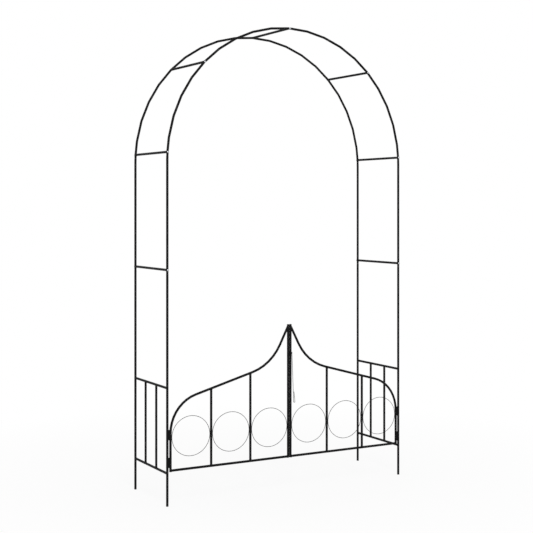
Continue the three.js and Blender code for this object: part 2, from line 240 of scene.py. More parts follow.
@dataclass(frozen=True)
class TubeEnd:
    """The form of an end that sits on another tube.

    Args:
        steps: Its section, as growth round its own tube and height above the other.
        ripple: How far a weld's surface goes in and out.
        ripples: How many times it does so on its way round.
    """

    steps: tuple[tuple[float, float], ...]
    ripple: float = 0.0
    ripples: int = 0


COPED = TubeEnd(steps=((-0.0003, 0.0001), (0.0, 0.0004)))
WELDED = TubeEnd(
    steps=((0.0016, -0.0002), (0.0014, 0.0006), (0.0008, 0.0013), (0.0002, 0.0017), (0.0, 0.0020)),
    ripple=0.00016,
    ripples=11,
)
WELDED_WIRE = TubeEnd(
    steps=((0.0009, -0.0002), (0.0008, 0.0003), (0.0005, 0.0008), (0.0001, 0.0011), (0.0, 0.0013)),
    ripple=0.00016,
    ripples=5,
)


class Bender:
    """Draws a round tube or wire as a ring of edges that is pushed on, bent, resized and closed."""

    def __init__(
        self,
        mesh: BMesh,
        start: Vector,
        heading: Vector,
        radius: float = TUBE_RADIUS,
        sides: int = TUBE_SIDES,
    ) -> None:
        """Starts a run with an open ring.

        Args:
            mesh: The mesh that the run is drawn in.
            start: The centre of the first ring.
            heading: The direction in which the run leaves it.
            radius: The radius of the first ring.
            sides: The number of edges in a ring.
        """
        self.mesh = mesh
        self.earlier = set(mesh.faces)
        self.at = start.copy()
        self.heading = heading.normalized()
        self.radius = radius
        made = bmesh.ops.create_circle(mesh, cap_ends=False, radius=radius, segments=sides)
        turn = self.heading.to_track_quat("Z", "Y").to_matrix().to_4x4()
        bmesh.ops.transform(mesh, matrix=Matrix.Translation(start) @ turn, verts=made["verts"])
        self.take(made["verts"])

    def take(self, verts: list[BMVert]) -> None:
        """Makes these vertices, and the edges between them, the open ring."""
        self.verts = list(verts)
        self.edges = edges_between(self.verts)

    def ring_to(self, centre: Vector, radius: float) -> None:
        """Draws the ring on to a new centre and radius.

        Args:
            centre: The centre of the new ring.
            radius: Its radius.
        """
        made = bmesh.ops.extrude_edge_only(self.mesh, edges=self.edges)
        self.take(verts_of(made["geom"]))
        bmesh.ops.translate(self.mesh, vec=centre - self.at, verts=self.verts)
        scale = (radius / self.radius,) * 3
        bmesh.ops.scale(self.mesh, vec=scale, space=Matrix.Translation(-centre), verts=self.verts)
        self.at = centre.copy()
        self.radius = radius

    def push(self, length: float, radius: float | None = None) -> None:
        """Draws the ring straight on.

        Args:
            length: How far.
            radius: The radius at the far end, where it changes.
        """
        self.ring_to(self.at + self.heading * length, radius or self.radius)

    def round_to(self, radius: float, length: float) -> None:
        """Draws the ring straight on to a true circle, whatever its shape.

        Args:
            radius: The circle's radius.
            length: How far.
        """
        self.push(length)
        for vert in self.verts:
            vert.co = self.at + (vert.co - self.at).normalized() * radius
        self.radius = radius

    def bend(self, radius: float, turn: float, about: Vector, step: float = BEND_STEP) -> None:
        """Bends the run round an axis.

        Args:
            radius: The bend's radius at the centre line.
            turn: The angle, positive by the right-hand rule.
            about: The direction of the axis.
            step: The largest angle between two rings.
        """
        centre = self.at + about.cross(self.heading) * math.copysign(radius, turn)
        steps = max(2, math.ceil(abs(turn) / step))
        self.take(spun(self.mesh, [*self.verts, *self.edges], centre, about, turn, steps))
        rotation = Matrix.Rotation(turn, 3, about)
        self.at = centre + rotation @ (self.at - centre)
        self.heading = rotation @ self.heading

    def press_along(self, points: list[Vector]) -> None:
        """Draws the run straight from point to point, with a short bend at each, as a tube press leaves it.

        Args:
            points: The corners of its centre line, and its end.
        """
        for corner, after in zip(points, points[1:]):
            turn = self.heading.angle(after - corner)
            if turn < HAIR:
                continue
            about = self.heading.cross(after - corner).normalized()
            self.push((corner - self.at).length - PRESS_RADIUS * math.tan(turn / 2))
            self.bend(PRESS_RADIUS, turn, about)
        self.push((points[-1] - self.at).length)

    def shape_to(self, seat: Seat, away: Vector, lift: float) -> None:
        """Moves the ring's vertices along the tube until they lie on the surface of its seat.

        Args:
            seat: The tube that the end sits on.
            away: The direction that leads from the seat into this tube.
            lift: The height to keep above the surface.
        """
        side = away.cross(seat.axis).normalized()
        limit = seat.radius * EDGE_SHARE
        away_square = away - seat.axis * away.dot(seat.axis)
        for vert in self.verts:
            offset = vert.co - seat.point
            offset -= away * offset.dot(away)
            reach = offset.dot(side)
            offset += side * (max(-limit, min(limit, reach)) - reach)
            square = offset - seat.axis * offset.dot(seat.axis)
            half = square.dot(away_square)
            spare = half * half - away_square.length_squared * (square.length_squared - seat.radius**2)
            climb = (math.sqrt(max(0.0, spare)) - half) / away_square.length_squared
            vert.co = seat.point + offset + away * (climb + lift)

    def _ripple(self, end: TubeEnd, share: float) -> None:
        """Moves the ring in and out a little, as a hand-laid weld does.

        Args:
            end: The form of the end.
            share: How much of its ripple the ring has.
        """
        for index, vert in enumerate(self.verts):
            angle = 2 * math.pi * index / len(self.verts)
            swell = end.ripple * share * math.sin(end.ripples * angle)
            vert.co += (vert.co - self.at).normalized() * swell

    @classmethod
    def leaving(
        cls,
        mesh: BMesh,
        seat: Seat,
        heading: Vector,
        end: TubeEnd,
        clear: float,
        radius: float = TUBE_RADIUS,
        sides: int = TUBE_SIDES,
    ) -> Bender:
        """Starts a run with an end that sits on another tube.

        Args:
            mesh: The mesh that it is drawn in.
            seat: The tube that it sits on.
            heading: The direction in which it leaves.
            end: The form of the end.
            clear: Where its first plain ring comes, from the point where the centre lines meet.
            radius: The run's radius.
            sides: The number of edges in a ring.

        Returns:
            The run, at that ring.
        """
        growth, lift = end.steps[0]
        run = cls(mesh, seat.point, heading, (radius + growth) * CAP_SHARES[0], sides)
        run.shape_to(seat, run.heading, lift)
        run.close()
        for share in CAP_SHARES[1:]:
            run.ring_to(seat.point, (radius + growth) * share)
            run.shape_to(seat, run.heading, lift)
        for growth, lift in end.steps:
            run.ring_to(seat.point, radius + growth)
            run._ripple(end, growth / TUBE_RADIUS)
            run.shape_to(seat, run.heading, lift)
        run.ring_to(seat.point + run.heading * clear, radius)
        for vert in run.verts:
            vert.co -= run.heading * (vert.co - run.at).dot(run.heading)
        return run

    def meet(self, seat: Seat, end: TubeEnd, heavy: Vector | None = None) -> None:
        """Ends the run on another tube.

        Args:
            seat: The tube that it sits on.
            end: The form of the end.
            heavy: The side on which the weld is heavier, and by how much of its growth.
        """
        radius = self.radius
        for growth, lift in reversed(end.steps):
            self.ring_to(seat.point + growth * (heavy or Vector()), radius + growth)
            self._ripple(end, growth / TUBE_RADIUS)
            self.shape_to(seat, -self.heading, lift)
        for share in reversed(CAP_SHARES):
            self.ring_to(seat.point, (radius + growth) * share)
            self.shape_to(seat, -self.heading, lift)
        self.close()

    def close(self) -> None:
        """Closes the open ring with a face."""
        bmesh.ops.edgeloop_fill(self.mesh, edges=self.edges)

    @classmethod
    def open_foot(cls, mesh: BMesh, foot: Vector, depth: float = 0.06) -> Bender:
        """Starts an upright tube with an open foot whose bore can be seen into.

        Args:
            mesh: The mesh that it is drawn in.
            foot: The centre of its foot.
            depth: How far up the bore is drawn.

        Returns:
            The run, above the small bevel of its rim and heading up.
        """
        run = cls(mesh, foot + UP * depth, UP, TUBE_BORE)
        run.close()
        run.ring_to(foot, TUBE_BORE)
        run.ring_to(foot, TUBE_RADIUS - TUBE_LIP)
        run.push(TUBE_LIP, TUBE_RADIUS)
        return run

    def faces(self) -> list[BMFace]:
        """The faces that this run has drawn."""
        return [face for face in self.mesh.faces if face not in self.earlier]

    def settle(self, wall: float | None = None) -> None:
        """Turns the run's faces outwards, and gives an open one its wall.

        Args:
            wall: The thickness to add inwards, for a tube.
        """
        bmesh.ops.recalc_face_normals(self.mesh, faces=self.faces())
        if wall:
            bmesh.ops.solidify(self.mesh, geom=self.faces(), thickness=wall)
            bmesh.ops.recalc_face_normals(self.mesh, faces=self.faces())


def drawn_tube(mesh: BMesh, low: Seat, high: Seat, end: TubeEnd) -> None:
    """Draws a straight tube between two others.

    Args:
        mesh: The mesh to draw in.
        low: The tube that it starts on.
        high: The tube that it ends on.
        end: The form of both ends.
    """
    run = Bender.leaving(mesh, low, high.point - low.point, end, CLEAR_RADII * TUBE_RADIUS)
    run.ring_to(high.point - run.heading * CLEAR_RADII * TUBE_RADIUS, TUBE_RADIUS)
    run.meet(high, end)
    run.settle()


def turned(
    mesh: BMesh,
    foot: Vector,
    heading: Vector,
    profile: list[tuple[float, float]],
    sides: int = TUBE_SIDES,
) -> None:
    """Draws a solid turned piece.

    Args:
        mesh: The mesh to draw in.
        foot: The point on its axis that heights start from.
        heading: The direction of its axis.
        profile: Its outline, as pairs of radius and height.
        sides: The number of edges round it.
    """
    (radius, height), *rest = profile
    heading = heading.normalized()
    run = Bender(mesh, foot + heading * height, heading, radius, sides)
    run.close()
    for radius, height in rest:
        run.ring_to(foot + heading * height, radius)
    run.close()
    run.settle()


def weld_run(mesh: BMesh, start: Vector, end: Vector, radius: float) -> None:
    """Draws a straight weld bead with the ripples of its puddles.

    Args:
        mesh: The mesh to draw in.
        start: One end of the bead.
        end: The other end.
        radius: Its radius.
    """
    length = (end - start).length
    steps = PUDDLE_STEPS * round(length / (radius * PUDDLE_PITCH))
    profile = [(radius * BEAD_TIP_SHARE, 0.0)]
    for index in range(1, steps):
        wave = 1.0 - PUDDLE_DIP * (index % PUDDLE_STEPS)
        profile.append((radius * wave, length * index / steps))
    profile.append((radius * BEAD_TIP_SHARE, length))
    turned(mesh, start, end - start, profile, WIRE_SIDES)


def spot_weld(mesh: BMesh, point: Vector, half: Vector) -> None:
    """Draws the small swelling of a spot weld.

    Args:
        mesh: The mesh to draw in.
        point: Its centre.
        half: Half its size each way.
    """
    made = bmesh.ops.create_uvsphere(mesh, u_segments=WIRE_SIDES, v_segments=SPOT_RINGS, radius=1.0)
    bmesh.ops.scale(mesh, vec=half, verts=made["verts"])
    bmesh.ops.translate(mesh, vec=point, verts=made["verts"])


def feed(tree: NodeTree, node: Node, inputs: dict[str | int, object]) -> None:
    """Sets some inputs of a node, and links those that another node gives.

    Args:
        tree: The tree that the node is in.
        node: The node.
        inputs: A value or an output for each input, by its name or number.
    """
    for name, given in inputs.items():
        if isinstance(given, NodeSocket):
            tree.links.new(given, node.inputs[name])
        else:
            node.inputs[name].default_value = given


def added(tree: NodeTree, kind: str, inputs: dict[str | int, object], **settings: object) -> Node:
    """Adds a shader node.

    Args:
        tree: The tree to add it to.
        kind: Its type.
        inputs: What it is fed with.
        settings: Its other settings.

    Returns:
        The new node.
    """
    node = tree.nodes.new(f"ShaderNode{kind}")
    for name, setting in settings.items():
        setattr(node, name, setting)
    feed(tree, node, inputs)
    return node


def fresh_material(name: str) -> tuple[Material, NodeTree, Node]:
    """Makes a material.

    Args:
        name: Its name.

    Returns:
        The material, its node tree and its main shader.
    """
    made = bpy.data.materials.new(name)
    made.use_nodes = True
    return made, made.node_tree, made.node_tree.nodes["Principled BSDF"]


def texture_group() -> NodeTree:
    """Builds the grain that both finishes share.

    Returns:
        A shader node group that gives a colour, a roughness and a height from a fine and a broad noise.
    """
    group = bpy.data.node_groups.new("coating_grain", "ShaderNodeTree")
    sockets = {
        "INPUT": {
            "Vector": "Vector",
            "Fine Scale": "Float",
            "Broad Scale": "Float",
            "Dark Color": "Color",
            "Light Color": "Color",
            "Smooth Roughness": "Float",
            "Rough Roughness": "Float",
        },
        "OUTPUT": {"Color": "Color", "Roughness": "Float", "Height": "Float"},
    }
    for way, kinds in sockets.items():
        for name, kind in kinds.items():
            group.interface.new_socket(name, in_out=way, socket_type=f"NodeSocket{kind}")
    given = group.nodes.new("NodeGroupInput").outputs

    noises = []
    for scale, (detail, roughness) in (("Fine Scale", FINE_NOISE), ("Broad Scale", BROAD_NOISE)):
        inputs = {"Vector": given["Vector"], "Scale": given[scale], "Detail": detail, "Roughness": roughness}
        noises.append(added(group, "TexNoise", inputs).outputs["Fac"])
    fine, broad = noises
    inputs = {"Factor": broad, "A": given["Dark Color"], "B": given["Light Color"]}
    colour = added(group, "Mix", inputs, data_type="RGBA")
    inputs = {"Value": broad, "To Min": given["Smooth Roughness"], "To Max": given["Rough Roughness"]}
    rough = added(group, "MapRange", inputs)
    results = {"Color": colour.outputs["Result"], "Roughness": rough.outputs["Result"], "Height": fine}
    feed(group, group.nodes.new("NodeGroupOutput"), results)
    return group


@dataclass(frozen=True)
class Finish:
    """A metal finish: what the record calls it, and how it looks.

    Args:
        name: The material's name.
        slot: The record's material slot; not used.
        dark: The darker of the two colours that it wanders between.
        light: The lighter one.
        roughness: The smoothest and the roughest that it gets.
        metallic: 1 for bare metal and 0 for a coating.
        specular: The shader's specular level.
        fine_scale: Grains in a metre, about, of the fine texture.
        broad_scale: The same of the broad cloudiness.
        bump: The height of the fine texture.
    """

    name: str
    slot: str
    dark: tuple[float, float, float]
    light: tuple[float, float, float]
    roughness: tuple[float, float]
    metallic: float
    specular: float
    fine_scale: float
    broad_scale: float
    bump: float

    def material(self, group: NodeTree) -> Material:
        """Builds the material.

        Args:
            group: The shared grain.

        Returns:
            The new material.
        """
        made, tree, shader = fresh_material(self.name)
        place = added(tree, "TexCoord", {})
        inputs = {
            "Vector": place.outputs["Object"],
            "Fine Scale": self.fine_scale,
            "Broad Scale": self.broad_scale,
            "Dark Color": (*self.dark, 1.0),
            "Light Color": (*self.light, 1.0),
            "Smooth Roughness": self.roughness[0],
            "Rough Roughness": self.roughness[1],
        }
        grain = added(tree, "Group", inputs, node_tree=group)
        bump = added(tree, "Bump", {"Height": grain.outputs["Height"], "Distance": self.bump})
        inputs = {
            "Base Color": grain.outputs["Color"],
            "Roughness": grain.outputs["Roughness"],
            "Normal": bump.outputs["Normal"],
            "Metallic": self.metallic,
            "Specular IOR Level": self.specular,
        }
        feed(tree, shader, inputs)
        return made


POWDER_COAT = Finish(
    name="satin_black_powder_coat",
    slot="powder_coat",
    dark=(0.004, 0.004, 0.0043),
    light=(0.0095, 0.0095, 0.01),
    roughness=(0.45, 0.62),
    metallic=0.0,
    specular=0.06,
    fine_scale=900.0,
    broad_scale=14.0,
    bump=0.00003,
)
ZINC_PLATE = Finish(
    name="bright_zinc_plate",
    slot="zinc",
    dark=(0.34, 0.35, 0.37),
    light=(0.52, 0.53, 0.55),
    roughness=(0.12, 0.22),
    metallic=1.0,
    specular=0.5,
    fine_scale=1400.0,
    broad_scale=260.0,
    bump=0.00001,
)


class Workshop:
    """Turns finished meshes into pieces that stand for the model's nodes."""

    def __init__(self) -> None:
        """Mixes the finishes."""
        group = texture_group()
        self.materials = {finish: finish.material(group) for finish in (POWDER_COAT, ZINC_PLATE)}

    def publish(self, mesh: BMesh, node: str, body: str, finish: Finish = POWDER_COAT) -> None:
        """Makes a piece of a mesh, dresses it and puts it in its node's place.

        Args:
            mesh: The finished mesh, in place, which is freed.
            node: The node that the piece stands for.
            body: The body that it moves with.
            finish: Its finish.
        """
        name = f"{node}_finished"
        data = bpy.data.meshes.new(name)
        mesh.to_mesh(data)
        mesh.free()
        data.shade_smooth()
        data.set_sharp_from_angle(angle=CREASE)
        data.materials.append(self.materials[finish])
        piece = placed(name, data)
        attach(piece, body)
        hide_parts(node)
        LOG.info("%s: %d faces", name, len(data.polygons))


@dataclass
class JointScrew:
    """A button-head screw with a hexagon socket, through an arch tube into the end of a crossbar.

    Args:
        shop: Makes the pieces.
        socket: The reach of the socket's corners from its middle.
        socket_depth: The socket's depth.
        socket_cuts: The cuts in each of its sides, so that a round ring can follow it.
        flat_share: The reach of the small round flat about the socket, as a share of the corners'.
        dome_share: The part of the head's height that its dome takes.
        dome_power: The power of its curve: 2 is an ellipse, and more is flatter on top.
        dome_edge_share: How far along its radius the curve is followed.
        dome_shares: Rings of the dome, as shares of the head's radius.
        rim: The height of the small bevel under the head.
        rim_share: The part of the head's radius that the bevel leaves.
        shank: The shank's radius.
        tip: The small bevel on the shank's tip.
    """

    shop: Workshop
    socket: float = 0.00173
    socket_depth: float = 0.0016
    socket_cuts: int = 5
    flat_share: float = 1.12
    dome_share: float = 0.62
    dome_power: float = 2.2
    dome_edge_share: float = 0.999
    dome_shares: tuple[float, ...] = (0.24, 0.4, 0.56, 0.7, 0.82, 0.92, 0.98, 1.0)
    rim: float = 0.0003
    rim_share: float = 0.97
    shank: float = 0.0025
    tip: float = 0.0005

    def head(self, run: Bender, foot: Vector, radius: float, height: float) -> None:
        """Draws the socket and the dome, down to the underside of the head.

        Args:
            run: A hexagon at the bottom of the socket, heading out of it.
            foot: The middle of the head's underside.
            radius: The head's radius.
            height: Its height.
        """
        outwards = run.heading
        run.close()
        run.push(self.socket_depth)
        bmesh.ops.subdivide_edges(run.mesh, edges=run.edges, cuts=self.socket_cuts)
        run.take([vert for vert in run.mesh.verts if abs((vert.co - run.at).dot(outwards)) < HAIR])
        for share in self.dome_shares:
            fall = 1 - math.sqrt(1 - (share * self.dome_edge_share) ** self.dome_power)
            level = foot + outwards * (height - height * self.dome_share * fall)
            reach = max(self.socket * self.flat_share, radius * share)
            run.round_to(reach, (level - run.at).dot(outwards))
        run.ring_to(foot + outwards * self.rim, radius)
        run.ring_to(foot, radius * self.rim_share)

    def build(self, node: str, point: Vector) -> None:
        """Builds one screw.

        Args:
            node: The node that it stands for.
            point: Where its axis crosses the arch tube's centre line.
        """
        low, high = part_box(node)
        outwards = ALONG * math.copysign(1.0, point.y)
        tip, top = (high.y, low.y) if point.y < 0 else (low.y, high.y)
        seat = TUBE_RADIUS + SEAT_GAP
        foot = point + outwards * seat
        height = abs(top - point.y) - seat
        mesh = bmesh.new()
        run = Bender(mesh, foot + outwards * (height - self.socket_depth), outwards, self.socket, HEXAGON)
        self.head(run, foot, (high.x - low.x) / 2, height)
        run.ring_to(foot, self.shank)
        run.ring_to(point - outwards * (abs(tip - point.y) - self.tip), self.shank)
        run.push(-self.tip, self.shank - self.tip)
        run.close()
        run.settle()
        self.shop.publish(mesh, node, "frame", ZINC_PLATE)


@dataclass
class Arches:
    """The front and rear arches, the crossbars and the screws that hold them together.

    Args:
        shop: Makes the pieces.
        spigot_reach: How far a spigot reaches each way from its screw.
        swage_length: How far the tube takes to narrow to its spigot.
        swage_shares: Rings along that narrowing.
        press_angle: The turn between two presses of the half circle.
    """

    shop: Workshop
    spigot_reach: float = 0.015
    swage_length: float = 0.0025
    swage_shares: tuple[float, ...] = (0.35, 0.5, 0.65, 1.0)
    press_angle: float = math.radians(9)

    def __post_init__(self) -> None:
        """Works out the arches' line from the frame."""
        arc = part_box("left_front_arc")
        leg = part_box("right_front_leg")
        self.radius = middle(leg).x
        self.spring = arc[1].z - TUBE_RADIUS - self.radius
        self.rows = {End.FRONT: middle(leg).y, End.REAR: middle(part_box("right_rear_leg")).y}
        self.spigot_radius = TUBE_BORE - SEAT_GAP
        self.joints = {level: self.length_of(f"right_front_{level.value}_screw") for level in Level}
        self.apex = self.spring + self.radius * math.pi / 2
        beyond = round(math.pi / 2 / self.press_angle) + 1  # up to the press past the apex
        presses = (self.spring + self.radius * self.press_angle * step for step in range(beyond + 1))
        self.corners = sorted([0.0, self.joints[Level.UPPER], *presses])

    def length_of(self, screw: str) -> float:
        """Finds where a screw sits.

        Args:
            screw: The screw's node.

        Returns:
            The length from the ground to it, along the arch.
        """
        place = middle(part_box(screw))
        if place.z <= self.spring:
            return place.z
        return self.spring + self.radius * math.atan2(place.z - self.spring, place.x)

    def corner(self, side: Side, row: float, length: float) -> Vector:
        """Finds a point of a leg or of the true half circle above it.

        Args:
            side: The side of the path.
            row: The place of the arch along the path.
            length: The length from the ground, along the arch.

        Returns:
            The point.
        """
        angle = max(0.0, length - self.spring) / self.radius
        height = min(length, self.spring) + self.radius * math.sin(angle)
        return Vector((side.value * self.radius * math.cos(angle), row, height))

    def point(self, side: Side, row: float, length: float) -> Vector:
        """Finds a point of the centre line, which runs straight between two corners.

        Args:
            side: The side of the path.
            row: The place of the arch along the path.
            length: The length from the ground, along the arch.

        Returns:
            The point.
        """
        after = bisect.bisect_right(self.corners, length)
        low, high = self.corners[after - 1], self.corners[after]
        ends = self.corner(side, row, low), self.corner(side, row, high)
        return ends[0].lerp(ends[1], (length - low) / (high - low))

    def heading(self, side: Side, length: float) -> Vector:
        """The centre line's direction at a length from the ground, halved where it is pressed."""
        reach = self.point(side, 0.0, length + HAIR) - self.point(side, 0.0, max(0.0, length - HAIR))
        return reach.normalized()

    def follow(self, run: Bender, side: Side, start: float, end: float) -> None:
        """Draws a run along the arch's line from one length to another."""
        lengths = [length for length in self.corners if start < length < end]
        run.press_along([self.point(side, run.at.y, length) for length in (*lengths, end)])

    def section(self, side: Side, row: float, start: float, end: float, spigot: bool) -> BMesh:
        """Draws one length of an arch.

        Args:
            side: Its side of the path.
            row: The place of its arch along the path.
            start: Where it starts, as a length along the arch from the ground.
            end: Where it ends.
            spigot: Whether its top is narrowed to a spigot.

        Returns:
            The new mesh.
        """
        mesh = bmesh.new()
        at = self.point(side, row, start)
        run = Bender(mesh, at, self.heading(side, start), TUBE_RADIUS - TUBE_LIP)
        run.push(TUBE_LIP, TUBE_RADIUS)
        full = end - 2 * self.spigot_reach - self.swage_length if spigot else end - TUBE_LIP
        self.follow(run, side, start + TUBE_LIP, full)
        if spigot:
            for share in self.swage_shares:
                blend = 0.5 - 0.5 * math.cos(math.pi * share)
                radius = TUBE_RADIUS + (self.spigot_radius - TUBE_RADIUS) * blend
                length = full + self.swage_length * share
                run.ring_to(self.point(side, row, length), radius)
            run.heading = self.heading(side, full + self.swage_length)
            self.follow(run, side, full + self.swage_length, end - TUBE_LIP)
        run.push(TUBE_LIP, run.radius - TUBE_LIP)
        run.settle(TUBE_WALL)
        return mesh

    def build_side(self, side: Side, end: End, screw: JointScrew) -> None:
        """Builds the three sections of one half of an arch, and their screws.

        Args:
            side: Its side of the path.
            end: The arch that it belongs to.
            screw: Makes the screws.
        """
        row = self.rows[end]
        middle_joint = self.joints[Level.MIDDLE]
        upper_joint = self.joints[Level.UPPER]
        reach = self.spigot_reach
        left = side is Side.LEFT
        apex_end = self.apex + reach - (0.0 if left else SEAT_GAP)
        prefix = f"{side.word}_{end.value}"
        spans = {
            "leg": (0.0, middle_joint + reach, True),
            "post": (middle_joint - reach + SEAT_GAP, upper_joint + reach, True),
            "arc": (upper_joint - reach + SEAT_GAP, apex_end, left),
        }
        for name, (start, finish, spigot) in spans.items():
            mesh = self.section(side, row, start, finish, spigot)
            self.shop.publish(mesh, f"{prefix}_{name}", "frame")
        for level, joint in self.joints.items():
            screw.build(f"{prefix}_{level.value}_screw", self.point(side, row, joint))

    def crossbar(self, node: str, side: Side, joint: float) -> None:
        """Builds a crossbar between the two arches.

        Args:
            node: The node that it stands for.
            side: Its side of the path.
            joint: Its place, as a length along the arches from the ground.
        """
        mesh = bmesh.new()
        axis = self.heading(side, joint)
        seats = [Seat(self.point(side, row, joint), axis) for row in self.rows.values()]
        drawn_tube(mesh, *seats, COPED)
        self.shop.publish(mesh, node, "frame")

    def build(self) -> None:
        """Builds both arches, the crossbars and the screws."""
        screw = JointScrew(self.shop)
        for side in Side:
            for end in End:
                self.build_side(side, end, screw)
            for level, joint in self.joints.items():
                self.crossbar(f"{side.word}_{level.value}_crossbar", side, joint)
        self.crossbar("top_crossbar", Side.RIGHT, self.apex)
        for end in End:
            screw.build(f"{end.value}_top_screw", self.point(Side.RIGHT, self.rows[end], self.apex))


@dataclass
class SidePanel:
    """The welded ladder between a front and a rear leg.

    Args:
        shop: Makes the pieces.
        arches: The arches that carry it.
        side: Its side of the path.
        bar_share: How far each upright bar stands from its leg, as a share of the way to the other.
    """

    shop: Workshop
    arches: Arches
    side: Side
    bar_share: float = 1 / 3

    def build(self) -> None:
        """Builds the two rails and the two bars."""
        node = f"{self.side.word}_side_panel"
        low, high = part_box(node)
        levels = (low.z + TUBE_RADIUS, high.z - TUBE_RADIUS)
        x = self.side.value * self.arches.radius
        front, rear = self.arches.rows[End.FRONT], self.arches.rows[End.REAR]
        mesh = bmesh.new()
        for z in levels:
            seats = [Seat(Vector((x, row, z)), UP) for row in (front, rear)]
            drawn_tube(mesh, *seats, WELDED)
        for share in (self.bar_share, 1 - self.bar_share):
            row = front + (rear - front) * share
            seats = [Seat(Vector((x, row, z)), ALONG) for z in levels]
            drawn_tube(mesh, *seats, WELDED)
        self.shop.publish(mesh, node, "frame")


@dataclass
class GateLeaf:
    """One leaf of the gate, with its bent frame, bars and wire rings.

    Args:
        shop: Makes the pieces.
        side: The side that it hangs on.
        shoulder_height: Where the hinge stile starts to bend.
        shoulder_bend: The radius of that bend.
        slope: The angle of the straight top.
        hollow_bend: The radius of the upward sweep to the middle.
        peak: The angle at which the top meets the meeting stile.
        peak_height: Where it meets it.
        shoulder_presses: The presses that bend the shoulder.
        hollow_presses: Those that bend the upward sweep.
        heavy_share: How much of its growth the weld at the peak leans to its underside.
        crown: The rounded top of the meeting stile, as steps of height and how far each narrows it.
        ring_steps: The facets along a wire ring.
        spot: Half the size of a ring's spot welds each way.
        spot_share: How far out from the wire's centre line they sit, as a share of its radius.
    """

    shop: Workshop
    side: Side
    shoulder_height: float = 0.351
    shoulder_bend: float = 0.184
    slope: float = math.radians(15.35)
    hollow_bend: float = 0.256
    peak: float = math.radians(62.6)
    peak_height: float = 0.8374
    shoulder_presses: int = 9
    hollow_presses: int = 6
    heavy_share: float = 0.9
    crown: tuple[tuple[float, float], ...] = ((0.0006, 0.0003), (0.0003, 0.0012))
    ring_steps: int = 120
    spot: tuple[float, float, float] = (0.0012, 0.0014, 0.0042)
    spot_share: float = 0.9

    def __post_init__(self) -> None:
        """Works out the leaf's places from the frame."""
        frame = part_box(self.node("gate_frame"))
        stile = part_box(self.node("gate_meeting_stile"))
        self.foot = frame[0].z
        self.row = middle(frame).y
        sign = self.side.value
        self.hinge_x = (frame[1].x if sign > 0 else frame[0].x) - sign * TUBE_RADIUS
        self.meeting_x = middle(stile).x
        self.stile_top = stile[1].z
        self.rail_height = middle(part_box(self.node("gate_bottom_rail"))).z
        self.bar_nodes = [self.node(f"gate_bar_{index}") for index in (1, 2)]
        self.ring_nodes = [self.node(f"gate_ring_{index}") for index in (1, 2, 3)]

    def node(self, piece: str) -> str:
        """The node's name of one of the leaf's pieces."""
        return f"{self.side.word}_{piece}"

    def straights(self) -> tuple[float, float]:
        """Works out the straights of the frame's top.

        Returns:
            The lengths of the sloping one and of the rising one.
        """
        across = abs(self.hinge_x - self.meeting_x)
        across -= self.shoulder_bend * (1 - math.sin(self.slope))
        across -= self.hollow_bend * (math.sin(self.peak) - math.sin(self.slope))
        height = self.peak_height - self.shoulder_height - self.shoulder_bend * math.cos(self.slope)
        height -= self.hollow_bend * (math.cos(self.slope) - math.cos(self.peak))
        spread = math.sin(self.peak - self.slope)
        slope = (across * math.sin(self.peak) - height * math.cos(self.peak)) / spread
        rise = (height * math.cos(self.slope) - across * math.sin(self.slope)) / spread
        return slope, rise

    def outline(self) -> list[Vector]:
        """Lays out the frame's centre line, from its foot to where it meets the meeting stile.

        Returns:
            Its corners.
        """
        sign = self.side.value
        slope_length, rise = self.straights()
        shoulder_turn = -sign * (math.pi / 2 - self.slope)
        hollow_turn = sign * (self.peak - self.slope)
        at, heading = Vector((self.hinge_x, self.row, self.foot)), UP
        corners = [at]
        for straight, radius, turn, presses in (
            (self.shoulder_height - self.foot, self.shoulder_bend, shoulder_turn, self.shoulder_presses),
            (slope_length, self.hollow_bend, hollow_turn, self.hollow_presses),
            (rise, 0.0, 0.0, 0),
        ):
            at = at + heading * straight
            corners.append(at)
            for _ in range(presses):
                half = Matrix.Rotation(turn / presses / 2, 3, ALONG)
                heading = half @ heading
                at = at + heading * 2 * radius * math.sin(abs(turn) / presses / 2)
                heading = half @ heading
                corners.append(at)
        return corners

    def top_at(self, x: float) -> tuple[float, Vector]:
        """Height and direction of the frame's top where it passes over a place.

        Args:
            x: The place across the gate.

        Returns:
            The centre line's height there and its direction.
        """
        corners = self.outline()
        for low, high in zip(corners, corners[1:]):
            if min(low.x, high.x) < x <= max(low.x, high.x):
                reach = high - low
                return low.z + reach.z * (x - low.x) / reach.x, reach.normalized()
        raise ValueError(f"the top does not pass over {x}")

    def frame(self) -> None:
        """Builds the bent tube that is hinge stile, shoulder and top rail in one."""
        mesh = bmesh.new()
        foot, *corners, meeting = self.outline()
        run = Bender.open_foot(mesh, foot)
        back = (corners[-1] - meeting).normalized()
        run.press_along([*corners, meeting + back * 2 * CLEAR_RADII * TUBE_RADIUS])
        run.meet(Seat(meeting, UP), WELDED, ALONG.cross(back) * self.side.value * self.heavy_share)
        run.settle()
        self.shop.publish(mesh, self.node("gate_frame"), self.side.leaf)

    def meeting_stile(self) -> BMesh:
        """Draws the straight stile in the middle of the gate, closed at its top.

        Returns:
            The new mesh.
        """
        mesh = bmesh.new()
        run = Bender.open_foot(mesh, Vector((self.meeting_x, self.row, self.foot)))
        run.push(self.stile_top - run.at.z - sum(step for step, _ in self.crown))
        for step, narrowing in self.crown:
            run.push(step, TUBE_RADIUS - narrowing)
        run.close()
        run.settle()
        return mesh

    def welded_tube(self, node: str, low: Seat, high: Seat) -> None:
        """Builds a welded rail or bar.

        Args:
            node: The node that it stands for.
            low: The tube that it starts on.
            high: The tube that it ends on.
        """
        mesh = bmesh.new()
        drawn_tube(mesh, low, high, WELDED)
        self.shop.publish(mesh, node, self.side.leaf)

